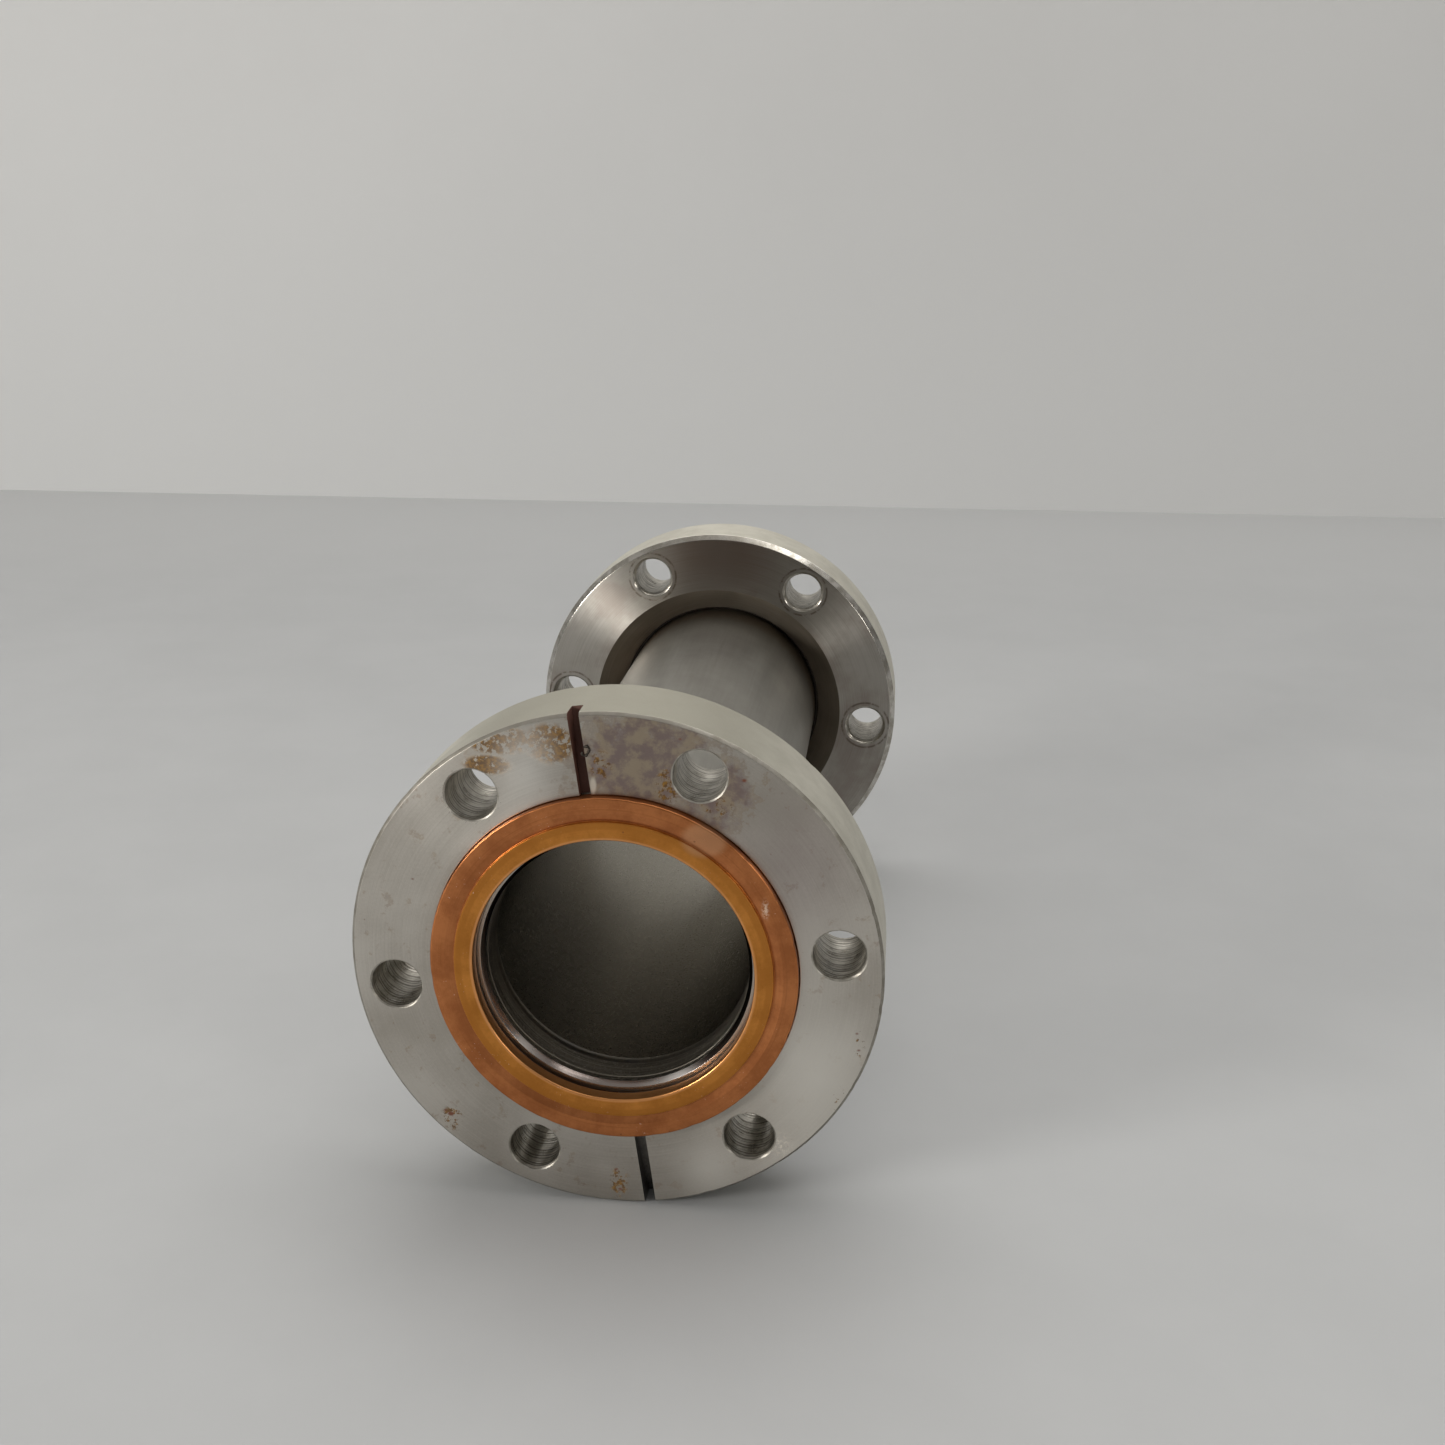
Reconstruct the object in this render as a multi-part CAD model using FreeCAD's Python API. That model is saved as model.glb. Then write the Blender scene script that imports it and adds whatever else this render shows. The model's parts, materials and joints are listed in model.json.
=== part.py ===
# Straight high-vacuum pipe fitting: a thin-walled tube with a knife-edge bolting flange on each end.
# The front flange is fixed, the rear flange turns on its insert, and a copper ring gasket sits in the
# front seat.
# Frame: +Z up, +Y along the bore from the front flange to the rear one, origin on the bore axis at the
# front mating face. The fitting lies on its two flange rims. Millimetres.
import FreeCAD, Part
import math
import os

# Driving dimensions
LENGTH = 127.0            # front mating face to rear mating face
FLANGE_R = 34.925         # flange outer radius
FLANGE_T = 12.7           # flange thickness
BOLT_CIRCLE_R = 29.36
BOLT_HOLE_R = 3.366
BOLT_COUNT = 6
TUBE_R = 19.05            # tube outer radius
BORE_R = 17.4             # tube inner radius, and the flange bores in line with it
FRONT_BOLT_CLOCK = 22.8   # degrees clockwise from +Z seen from the front, to the first bolt hole
REAR_BOLT_CLOCK = 34.4
REAR_GROOVE_CLOCK = REAR_BOLT_CLOCK + 90.0

# Sealing profile, as depths below the mating face
RECESS_R = 24.13          # wall that centres the gasket
KNIFE_R = 20.96           # knife-edge circle
KNIFE_DEPTH = 0.65        # knife tip
KNIFE_SLOPE = 20.0        # degrees, on the outer side of the knife
FLOOR_DEPTH = 1.45        # step between the knife and the bore
FLOOR_INNER_R = 17.97
BORE_LEAD = 0.9           # axial length of the taper from the step into the bore

# Edge breaks
RIM_BREAK = 0.5
REAR_RIM_BREAK = 0.9      # the receiver's tube-side rim has a broader bevel
RECESS_BREAK = 0.15
HOLE_BREAK = 0.25
REAR_HOLE_BREAK = 0.55    # tube-side hole edges of the receiver
INSERT_BREAK = 0.2
RECEIVER_BREAK = 0.25

# Leak-check grooves: two saw cuts that deepen from the recess to the rim
GROOVE_W = 1.5
GROOVE_INNER_DEPTH = 1.2
GROOVE_RIM_DEPTH = 3.3
GROOVE_RUN_IN = 0.4       # the saw runs this far inside the wall where the groove starts

OVERSHOOT = 1.0           # cutters run this far past the faces they cut through

# Tube sockets: depth of the seat below each mating face, and the weld preparation there
SOCKET_CLEARANCE = 0.05
FRONT_SEAT = 7.42
REAR_SEAT = 3.6
WELD_PREP = 0.7
WELD_CROWN = 0.12         # how far a weld bead stands into the bore
SOCKET_BREAK = 0.4

# Rotatable flange: insert, receiver and the wire that keeps them together
INSERT_R = 25.3
INSERT_SETBACK = 0.15     # the insert's rim lies a little below the receiver's face
INSERT_BACK = 6.6
RUNNING_CLEARANCE = 0.1
LIP_GAP = 0.05            # axial clearance between the insert's shoulder and the receiver's lip
LIP_HOLE_R = 19.65
CONE_R = 24.17            # mouth of the relief cone on the receiver's tube side
CONE_DEPTH = 5.0
WIRE_R = 0.35             # retaining wire section
WIRE_CENTRE_R = 25.33
WIRE_DEPTH = 4.2
WIRE_SPLIT = 7.0          # degrees, gap in the split ring
WIRE_PLAY = 0.05

# Gasket
GASKET_R = 24.05
GASKET_BORE_R = 18.4
GASKET_TOP = -1.1         # the gasket stands this far proud of the mating face
GASKET_T = 2.0
IMPRINT = 0.42            # depth of the used gasket's knife imprint
IMPRINT_CLEARANCE = 0.05
GASKET_BREAK = 0.2

SLOPE = math.tan(math.radians(KNIFE_SLOPE))
V = FreeCAD.Vector
AXIS = V(0, 1, 0)


def revolved(outline, degrees=360.0):
    """Solid of revolution about the bore axis. Outline items are (radius, depth) corners, or a pair of
    such points for an arc: a point on the way and the arc's end."""
    start = V(outline[0][0], outline[0][1], 0)
    here = start
    edges = []
    for step in outline[1:] + [outline[0]]:
        if isinstance(step[0], tuple):
            middle, end = (V(r, y, 0) for r, y in step)
            edges.append(Part.Arc(here, middle, end).toShape())
        else:
            end = V(step[0], step[1], 0)
            edges.append(Part.makeLine(here, end))
        here = end
    face = Part.Face(Part.Wire(edges))
    return face.revolve(V(0, 0, 0), AXIS, degrees)


def knife_slope_depth(radius):
    """Depth of the sloping side of the knife edge at a radius."""
    return KNIFE_DEPTH + (radius - KNIFE_R) * SLOPE


def seal_outline(setback):
    """Corners from the mating face down the recess and knife edge to the start of the bore."""
    return [
        (RECESS_R + RECESS_BREAK, setback),
        (RECESS_R, setback + RECESS_BREAK),
        (RECESS_R, knife_slope_depth(RECESS_R)),
        (KNIFE_R, KNIFE_DEPTH),
        (KNIFE_R, FLOOR_DEPTH),
        (FLOOR_INNER_R, FLOOR_DEPTH),
        (BORE_R, FLOOR_DEPTH + BORE_LEAD),
    ]


def socket_outline(seat, back):
    """Corners from the bore, over the weld preparation and tube seat, to the tube-side face."""
    socket_r = TUBE_R + SOCKET_CLEARANCE
    return [
        (BORE_R, seat - WELD_PREP),
        (BORE_R + WELD_PREP, seat),
        (socket_r, seat),
        (socket_r, back - SOCKET_BREAK),
        (socket_r + SOCKET_BREAK, back),
    ]


def clocked(radius, degrees):
    """Point on a circle, clockwise from +Z seen along +Y."""
    a = math.radians(degrees)
    return V(radius * math.sin(a), 0, radius * math.cos(a))


def bolt_hole_cutters(clock, front_break, back_break):
    """Through drills for the bolt circle, each with a conical edge break on both faces."""
    cutters = []
    for i in range(BOLT_COUNT):
        foot = clocked(BOLT_CIRCLE_R, clock + i * 360.0 / BOLT_COUNT)
        drill_start = foot - AXIS * OVERSHOOT
        cutters.append(Part.makeCylinder(BOLT_HOLE_R, FLANGE_T + 2 * OVERSHOOT, drill_start, AXIS))
        front_mouth = BOLT_HOLE_R + front_break
        cutters.append(Part.makeCone(front_mouth, BOLT_HOLE_R, front_break, foot, AXIS))
        back_foot = foot + AXIS * (FLANGE_T - back_break)
        cutters.append(Part.makeCone(BOLT_HOLE_R, BOLT_HOLE_R + back_break, back_break, back_foot, AXIS))
    return cutters


def groove_cutters(clock, wall_r):
    """Two opposite leak-check grooves, midway between bolt holes, with a floor that slopes to the rim."""
    inner_r = wall_r - GROOVE_RUN_IN
    outer_r = FLANGE_R + OVERSHOOT
    fall = (GROOVE_RIM_DEPTH - GROOVE_INNER_DEPTH) / (FLANGE_R - RECESS_R)
    profile = [
        V(-GROOVE_W / 2, -OVERSHOOT, inner_r),
        V(-GROOVE_W / 2, -OVERSHOOT, outer_r),
        V(-GROOVE_W / 2, GROOVE_RIM_DEPTH + (outer_r - FLANGE_R) * fall, outer_r),
        V(-GROOVE_W / 2, GROOVE_INNER_DEPTH + (inner_r - RECESS_R) * fall, inner_r),
    ]
    side = Part.Face(Part.makePolygon(profile + [profile[0]]))
    cutters = []
    for half_turn in (0, 180):
        cutter = side.extrude(V(GROOVE_W, 0, 0))
        cutter.rotate(V(0, 0, 0), AXIS, clock + half_turn)
        cutters.append(cutter)
    return cutters


def fixed_flange():
    """One-piece front flange, mating face at y = 0."""
    outline = seal_outline(0) + socket_outline(FRONT_SEAT, FLANGE_T) + [
        (FLANGE_R - RIM_BREAK, FLANGE_T),
        (FLANGE_R, FLANGE_T - RIM_BREAK),
        (FLANGE_R, RIM_BREAK),
        (FLANGE_R - RIM_BREAK, 0),
    ]
    body = revolved(outline)
    cutters = bolt_hole_cutters(FRONT_BOLT_CLOCK, HOLE_BREAK, HOLE_BREAK)
    cutters += groove_cutters(FRONT_BOLT_CLOCK - 180.0 / BOLT_COUNT, RECESS_R)
    return body.cut(cutters)


def insert():
    """Knife-edge insert of the rotatable flange, with a groove for the retaining wire."""
    groove_r = WIRE_CENTRE_R - WIRE_R - WIRE_PLAY
    half_groove = WIRE_R + WIRE_PLAY
    body = revolved(seal_outline(INSERT_SETBACK) + socket_outline(REAR_SEAT, INSERT_BACK) + [
        (INSERT_R - INSERT_BREAK, INSERT_BACK),
        (INSERT_R, INSERT_BACK - INSERT_BREAK),
        (INSERT_R, WIRE_DEPTH + half_groove),
        (groove_r, WIRE_DEPTH + half_groove),
        (groove_r, WIRE_DEPTH - half_groove),
        (INSERT_R, WIRE_DEPTH - half_groove),
        (INSERT_R, INSERT_SETBACK + INSERT_BREAK),
        (INSERT_R - INSERT_BREAK, INSERT_SETBACK),
    ])
    return body.cut(groove_cutters(-REAR_GROOVE_CLOCK, RECESS_R))


def receiver():
    """Outer bolt ring of the rotatable flange. Its inner lip bears on the insert's shoulder."""
    bore_r = INSERT_R + RUNNING_CLEARANCE
    lip_front = INSERT_BACK + LIP_GAP
    groove_r = WIRE_CENTRE_R + WIRE_R + WIRE_PLAY
    half_groove = WIRE_R + WIRE_PLAY
    outline = [
        (bore_r + RECEIVER_BREAK, 0),
        (bore_r, RECEIVER_BREAK),
        (bore_r, WIRE_DEPTH - half_groove),
        (groove_r, WIRE_DEPTH - half_groove),
        (groove_r, WIRE_DEPTH + half_groove),
        (bore_r, WIRE_DEPTH + half_groove),
        (bore_r, lip_front),
        (LIP_HOLE_R + RECEIVER_BREAK, lip_front),
        (LIP_HOLE_R, lip_front + RECEIVER_BREAK),
        (LIP_HOLE_R, FLANGE_T - CONE_DEPTH),
        (CONE_R, FLANGE_T),
        (FLANGE_R - REAR_RIM_BREAK, FLANGE_T),
        (FLANGE_R, FLANGE_T - REAR_RIM_BREAK),
        (FLANGE_R, RIM_BREAK),
        (FLANGE_R - RIM_BREAK, 0),
    ]
    body = revolved(outline)
    cutters = bolt_hole_cutters(-REAR_BOLT_CLOCK, HOLE_BREAK, REAR_HOLE_BREAK)
    cutters += groove_cutters(-REAR_GROOVE_CLOCK, bore_r)
    return body.cut(cutters)


def retaining_ring():
    """Split round-wire ring that lies half in the insert and half in the receiver."""
    circle = Part.makeCircle(WIRE_R, V(WIRE_CENTRE_R, WIRE_DEPTH, 0), V(0, 0, 1))
    ring = Part.Face(Part.Wire([circle])).revolve(V(0, 0, 0), AXIS, 360.0 - WIRE_SPLIT)
    return ring


def tube():
    """Drawn tube, chamfered inside at both ends for the seal welds."""
    front = FRONT_SEAT
    rear = LENGTH - REAR_SEAT
    prep_r = BORE_R + WELD_PREP
    return revolved([
        (prep_r, front),
        (TUBE_R, front),
        (TUBE_R, rear),
        (prep_r, rear),
        (BORE_R, rear - WELD_PREP),
        (BORE_R, front + WELD_PREP),
    ])


def weld_bead(seat):
    """Seal weld inside the bore: it fills the vee between flange and tube and stands slightly proud."""
    return revolved([
        (BORE_R, seat - WELD_PREP),
        ((BORE_R - WELD_CROWN, seat), (BORE_R, seat + WELD_PREP)),
        (BORE_R + WELD_PREP, seat),
    ])


def gasket():
    """Used copper ring gasket, with a knife imprint on each side."""
    top = GASKET_TOP
    bottom = GASKET_TOP + GASKET_T
    wall = KNIFE_R - IMPRINT_CLEARANCE
    # On the seated side the imprint follows the knife edge at a small clearance.
    seated_tip = KNIFE_DEPTH - IMPRINT_CLEARANCE
    seated_end = KNIFE_R + (bottom - seated_tip) / SLOPE
    open_tip = top + IMPRINT
    open_end = KNIFE_R + IMPRINT / SLOPE
    return revolved([
        (GASKET_BORE_R + GASKET_BREAK, top),
        (wall, top),
        (wall, open_tip),
        (KNIFE_R, open_tip),
        (open_end, top),
        (GASKET_R - GASKET_BREAK, top),
        (GASKET_R, top + GASKET_BREAK),
        (GASKET_R, bottom - GASKET_BREAK),
        (GASKET_R - GASKET_BREAK, bottom),
        (seated_end, bottom),
        (KNIFE_R, seated_tip),
        (wall, seated_tip),
        (wall, bottom),
        (GASKET_BORE_R + GASKET_BREAK, bottom),
        (GASKET_BORE_R, bottom - GASKET_BREAK),
        (GASKET_BORE_R, top + GASKET_BREAK),
    ])


def at_rear(shape):
    """Turns a part modelled from its own mating face round to the rear end of the fitting."""
    shape.rotate(V(0, 0, 0), V(0, 0, 1), 180)
    shape.translate(V(0, LENGTH, 0))
    return shape


NODES = {
    "tube": tube(),
    "front_flange": fixed_flange(),
    "front_weld_bead": weld_bead(FRONT_SEAT),
    "gasket": gasket(),
    "rear_insert": at_rear(insert()),
    "rear_weld_bead": at_rear(weld_bead(REAR_SEAT)),
    "rear_receiver": at_rear(receiver()),
    "retaining_ring": at_rear(retaining_ring()),
}

os.makedirs("parts", exist_ok=True)
for name, shape in NODES.items():
    box = shape.BoundBox
    print(f"{name:16s} solids {len(shape.Solids)} valid {shape.isValid()} volume {shape.Volume:9.1f} mm3 "
          f"x {box.XMin:7.2f}..{box.XMax:6.2f} y {box.YMin:7.2f}..{box.YMax:6.2f}")
    shape.exportStep(os.path.join("parts", name + ".step"))
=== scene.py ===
import json
import math
import random

import bmesh
import bpy
from mathutils import Matrix, Vector, noise


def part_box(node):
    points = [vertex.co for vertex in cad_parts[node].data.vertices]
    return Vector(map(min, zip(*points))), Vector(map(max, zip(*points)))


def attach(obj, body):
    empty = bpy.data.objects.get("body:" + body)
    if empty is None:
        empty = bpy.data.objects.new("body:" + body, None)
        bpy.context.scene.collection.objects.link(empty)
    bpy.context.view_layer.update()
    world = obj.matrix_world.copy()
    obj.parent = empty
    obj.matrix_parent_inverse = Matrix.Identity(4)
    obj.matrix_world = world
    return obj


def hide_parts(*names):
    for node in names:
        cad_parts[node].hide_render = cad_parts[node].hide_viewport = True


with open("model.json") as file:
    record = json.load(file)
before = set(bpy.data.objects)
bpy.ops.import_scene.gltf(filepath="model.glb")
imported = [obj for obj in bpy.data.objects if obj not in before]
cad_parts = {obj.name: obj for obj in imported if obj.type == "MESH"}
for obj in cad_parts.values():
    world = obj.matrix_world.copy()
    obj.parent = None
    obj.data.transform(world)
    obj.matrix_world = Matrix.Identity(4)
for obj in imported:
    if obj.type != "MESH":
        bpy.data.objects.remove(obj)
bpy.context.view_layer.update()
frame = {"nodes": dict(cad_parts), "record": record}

MM = 0.001               # metres in a millimetre

# ---------------------------------------------------------------- sizes in millimetres


def box_mm(node):
    low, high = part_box(node)
    return low / MM, high / MM


front_low, front_high = box_mm("front_flange")
_, ring_high = box_mm("rear_receiver")
tube_low, tube_high = box_mm("tube")
insert_low, insert_high = box_mm("rear_insert")
gasket_low, gasket_high = box_mm("gasket")
wire_low, wire_high = box_mm("retaining_ring")
mounts = {mount["name"]: mount for mount in frame["record"]["mounts"]}

FLANGE_R = front_high.z
FLANGE_T = front_high.y
LENGTH = ring_high.y
TUBE_R = tube_high.x
BORE_R = 17.4
BOLT_HOLE_R = mounts["front_bolt_hole_1"]["dims"]["r_mm"]
TABLE_Z = front_low.z

# Sealing profile shared by both mating faces: radii, and depths below the face
RECESS_R = 24.13
KNIFE_R = 20.96
KNIFE_DEPTH = 0.65
KNIFE_SLOPE = math.tan(math.radians(20.0))
FLOOR_DEPTH = 1.45
FLOOR_INNER_R = 17.97
LEAD_DEPTH = 2.35         # end of the polished taper that leads into the bore

# Tube sockets: depths of their seats below the mating faces, and the bevel that the weld fills
FRONT_SEAT = tube_low.y
REAR_SEAT = LENGTH - tube_high.y
SOCKET_R = TUBE_R + 0.05
WELD_PREP = 0.7

# Rotatable flange: depths below the rear mating face
INSERT_R = insert_high.x
INSERT_SETBACK = LENGTH - insert_high.y
INSERT_BACK = LENGTH - insert_low.y
RING_BORE_R = INSERT_R + 0.1
LIP_FRONT = INSERT_BACK + 0.05
LIP_HOLE_R = 19.65
CONE_R = 24.17
CONE_DEPTH = 5.0
WIRE_NEAR = LENGTH - wire_high.y - 0.05
WIRE_FAR = LENGTH - wire_low.y + 0.05
INSERT_WIRE_CUT = 0.37    # depth of the wire's groove into the insert's rim
RING_WIRE_CUT = 0.33      # and into the bolt ring's bore

# Gasket
GASKET_R = gasket_high.x
GASKET_BORE_R = 18.4
GASKET_TOP = gasket_low.y
GASKET_BOTTOM = gasket_high.y
IMPRINT = 0.42            # depth of the knife's imprint in it
IMPRINT_CLEARANCE = 0.05

# Leak-check grooves, which run a little way inside the wall where they start
GROOVE_W = 1.5
GROOVE_INNER_DEPTH = 1.2
GROOVE_RIM_DEPTH = 3.3
GROOVE_RUN_IN = 0.4

# Broken edges
FACE_BREAK = 0.40
RIM_BREAK = 0.45
BEVEL_WIDTH = 0.9
HOLE_BREAK = 0.25
BACK_HOLE_BREAK = 0.55
HOLE_RUB_R = 4.75         # outside of the ring that bolt heads rub round a hole


def mounts_named(prefix):
    return [mount for name, mount in mounts.items() if name.startswith(prefix)]


# ---------------------------------------------------------------- mesh tools


def rounded(corners, steps=4):
    """Closed outline of (radius, y, fillet, zone) corners, with each fillet drawn as an arc.
    Gives (radius, y, zone) points, where zone names the finish of the stretch that starts there."""
    points = []
    count = len(corners)
    for i, (r, y, fillet, zone) in enumerate(corners):
        here = Vector((r, y))
        before = Vector(corners[i - 1][:2]) - here
        after = Vector(corners[(i + 1) % count][:2]) - here
        if not fillet:
            points.append((r, y, zone))
            continue
        half = before.angle(after) / 2
        cut = min(fillet / math.tan(half), 0.45 * before.length, 0.45 * after.length)
        radius = cut * math.tan(half)
        middle = (before.normalized() + after.normalized()).normalized()
        centre = here + middle * (radius / math.sin(half))
        start = here + before.normalized() * cut - centre
        end = here + after.normalized() * cut - centre
        for k in range(steps + 1):
            spoke = start.lerp(end, k / steps).normalized() * radius
            arc_zone = corners[i - 1][3] if k < steps / 2 else zone
            points.append((centre.x + spoke.x, centre.y + spoke.y, arc_zone))
    return points


def new_object(name, bm, materials):
    mesh = bpy.data.meshes.new(name)
    bm.to_mesh(mesh)
    bm.free()
    for material in materials:
        mesh.materials.append(material)
    obj = bpy.data.objects.new(name, mesh)
    bpy.context.scene.collection.objects.link(obj)
    return obj


def lathe(name, corners, finishes, segments, offset=None):
    """Solid of revolution about the bore axis, in metres, from a closed outline in millimetres.
    finishes maps zone names to materials. offset(angle, r, y) may return a small (dr, dy)."""
    outline = rounded(corners)
    zones = list(finishes)
    bm = bmesh.new()
    rings = []
    for i in range(segments):
        angle = 2 * math.pi * i / segments
        ring = []
        for r, y, zone in outline:
            dr, dy = offset(angle, r, y) if offset else (0, 0)
            spot = Vector(((r + dr) * math.sin(angle), y + dy, (r + dr) * math.cos(angle))) * MM
            ring.append(bm.verts.new(spot))
        rings.append(ring)
    for i in range(segments):
        a, b = rings[i], rings[(i + 1) % segments]
        for k, (_, _, zone) in enumerate(outline):
            n = (k + 1) % len(outline)
            face = bm.faces.new((a[k], a[n], b[n], b[k]))
            face.material_index = zones.index(zone)
            face.smooth = True
    bmesh.ops.recalc_face_normals(bm, faces=bm.faces)
    return new_object(name, bm, finishes.values())


def spun_cutter(name, profile, foot, segments=72):
    """Cutting tool for a hole along +Y: profile is (radius, y) from the near end to the far end."""
    bm = bmesh.new()
    rings = []
    for r, y in profile:
        ring = []
        for i in range(segments):
            angle = 2 * math.pi * i / segments
            spot = Vector((foot[0] + r * math.sin(angle), y, foot[1] + r * math.cos(angle)))
            ring.append(bm.verts.new(spot * MM))
        rings.append(ring)
    bm.faces.new(rings[0])
    bm.faces.new(rings[-1])
    for a, b in zip(rings, rings[1:]):
        for i in range(segments):
            n = (i + 1) % segments
            bm.faces.new((a[i], a[n], b[n], b[i])).smooth = True
    bmesh.ops.recalc_face_normals(bm, faces=bm.faces)
    return new_object(name, bm, [])


def cut_away(obj, cutters):
    """Subtracts each cutter from obj, and keeps the finish that the cutter carries."""
    for cutter in cutters:
        tool = obj.modifiers.new(cutter.name, "BOOLEAN")
        tool.operation = "DIFFERENCE"
        tool.solver = "EXACT"
        tool.material_mode = "TRANSFER"
        tool.object = cutter
    bake_modifiers(obj)
    for cutter in cutters:
        bpy.data.objects.remove(cutter)


def bake_modifiers(obj):
    graph = bpy.context.evaluated_depsgraph_get()
    mesh = bpy.data.meshes.new_from_object(obj.evaluated_get(graph), depsgraph=graph)
    old = obj.data
    obj.modifiers.clear()
    obj.data = mesh
    bpy.data.meshes.remove(old)


def shade(obj, degrees=28.0):
    """Smooth shading with sharp edges kept, and flat faces left flat."""
    for polygon in obj.data.polygons:
        polygon.use_smooth = True
    obj.data.set_sharp_from_angle(angle=math.radians(degrees))
    weighted = obj.modifiers.new("flat_faces", "WEIGHTED_NORMAL")
    weighted.keep_sharp = True
    weighted.weight = 100
    bake_modifiers(obj)


# ---------------------------------------------------------------- shader tools


class Shader:
    """A material's node tree, written as calls that return sockets. Positions are in millimetres."""

    def __init__(self, name):
        self.material = bpy.data.materials.new(name)
        self.material.use_nodes = True
        self.tree = self.material.node_tree
        self.bsdf = self.tree.nodes["Principled BSDF"]
        place = self.node("ShaderNodeTexCoord")
        self.point = self.vector("SCALE", place.outputs["Object"], scale=1 / MM)
        split = self.node("ShaderNodeSeparateXYZ", {0: self.point})
        self.x, self.y, self.z = split.outputs
        self.r = self.from_line(0.0, 0.0)
        self.angle = self.math("ARCTAN2", self.x, self.z)

    def node(self, kind, inputs=None, **settings):
        node = self.tree.nodes.new(kind)
        for key, value in settings.items():
            setattr(node, key, value)
        for key, value in (inputs or {}).items():
            self.feed(node.inputs[key], value)
        return node

    def feed(self, socket, value):
        if isinstance(value, bpy.types.NodeSocket):
            self.tree.links.new(value, socket)
        else:
            socket.default_value = value

    def math(self, operation, a, b=0.0):
        return self.node("ShaderNodeMath", {0: a, 1: b}, operation=operation).outputs[0]

    def minus(self, a, b):
        return self.math("SUBTRACT", a, b)

    def most(self, *values):
        largest = values[0]
        for value in values[1:]:
            largest = self.math("MAXIMUM", largest, value)
        return largest

    def length(self, arrow):
        return self.node("ShaderNodeVectorMath", {0: arrow}, operation="LENGTH").outputs["Value"]

    def from_line(self, x, z):
        """Distance in millimetres from the line along +Y through (x, z)."""
        away = self.vector("SUBTRACT", self.point, (x, 0.0, z))
        return self.length(self.vector("MULTIPLY", away, (1.0, 0.0, 1.0)))

    def vector(self, operation, a, b=None, scale=None):
        node = self.node("ShaderNodeVectorMath", {0: a}, operation=operation)
        if b is not None:
            self.feed(node.inputs[1], b)
        if scale is not None:
            node.inputs["Scale"].default_value = scale
        return node.outputs[0]

    def combine(self, x, y, z):
        return self.node("ShaderNodeCombineXYZ", {0: x, 1: y, 2: z}).outputs[0]

    def noise(self, scale, detail=3.0, roughness=0.55, at=None):
        inputs = {
            "Vector": self.point if at is None else at,
            "Scale": scale,
            "Detail": detail,
            "Roughness": roughness,
        }
        return self.node("ShaderNodeTexNoise", inputs).outputs["Fac"]

    def cells(self, scale):
        inputs = {"Vector": self.point, "Scale": scale}
        return self.node("ShaderNodeTexVoronoi", inputs).outputs["Distance"]

    def band(self, value, low, high):
        """0 below low, 1 above high, smooth between. With low above high it falls instead."""
        inputs = {"Value": value, "From Min": low, "From Max": high, "To Min": 0.0, "To Max": 1.0}
        return self.node("ShaderNodeMapRange", inputs, interpolation_type="SMOOTHSTEP").outputs[0]

    def between(self, value, low, high, soft):
        rise = self.band(value, low - soft, low + soft)
        fall = self.band(value, high + soft, high - soft)
        return self.math("MULTIPLY", rise, fall)

    def span(self, value, low, high):
        """Spreads a 0 to 1 value over low to high."""
        inputs = {"Value": value, "From Min": 0.0, "From Max": 1.0, "To Min": low, "To Max": high}
        return self.node("ShaderNodeMapRange", inputs).outputs[0]

    def blot(self, centre, radius, soft, squash):
        """1 inside a soft ellipsoid about a point in millimetres, 0 outside."""
        away = self.vector("MULTIPLY", self.vector("SUBTRACT", self.point, centre), squash)
        return self.band(self.length(away), radius + soft, radius - soft)

    def mix(self, amount, a, b):
        node = self.node("ShaderNodeMix", {0: amount}, data_type="RGBA")
        self.feed(node.inputs[6], a)
        self.feed(node.inputs[7], b)
        return node.outputs[2]

    def blend(self, amount, a, b):
        node = self.node("ShaderNodeMix", {0: amount}, data_type="FLOAT")
        self.feed(node.inputs[2], a)
        self.feed(node.inputs[3], b)
        return node.outputs[0]

    def add(self, *values):
        total = values[0]
        for value in values[1:]:
            total = self.math("ADD", total, value)
        return total

    def times(self, *values):
        total = values[0]
        for value in values[1:]:
            total = self.math("MULTIPLY", total, value)
        return total

    def turned(self, pitch, seed=0.0):
        """Fine rings of a lathe cut: noise that varies quickly with radius and slowly round the axis."""
        spot = self.combine(self.times(self.r, 1 / pitch), self.times(self.angle, 1.5), seed)
        return self.noise(1.0, detail=2.0, roughness=0.7, at=spot)

    def drawn(self, pitch, seed):
        """Fine lines round a cylinder: noise that varies quickly along the bore axis."""
        spot = self.combine(self.times(self.y, 1 / pitch), self.times(self.angle, 1.2), seed)
        return self.noise(1.0, detail=2.0, roughness=0.7, at=spot)

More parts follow.
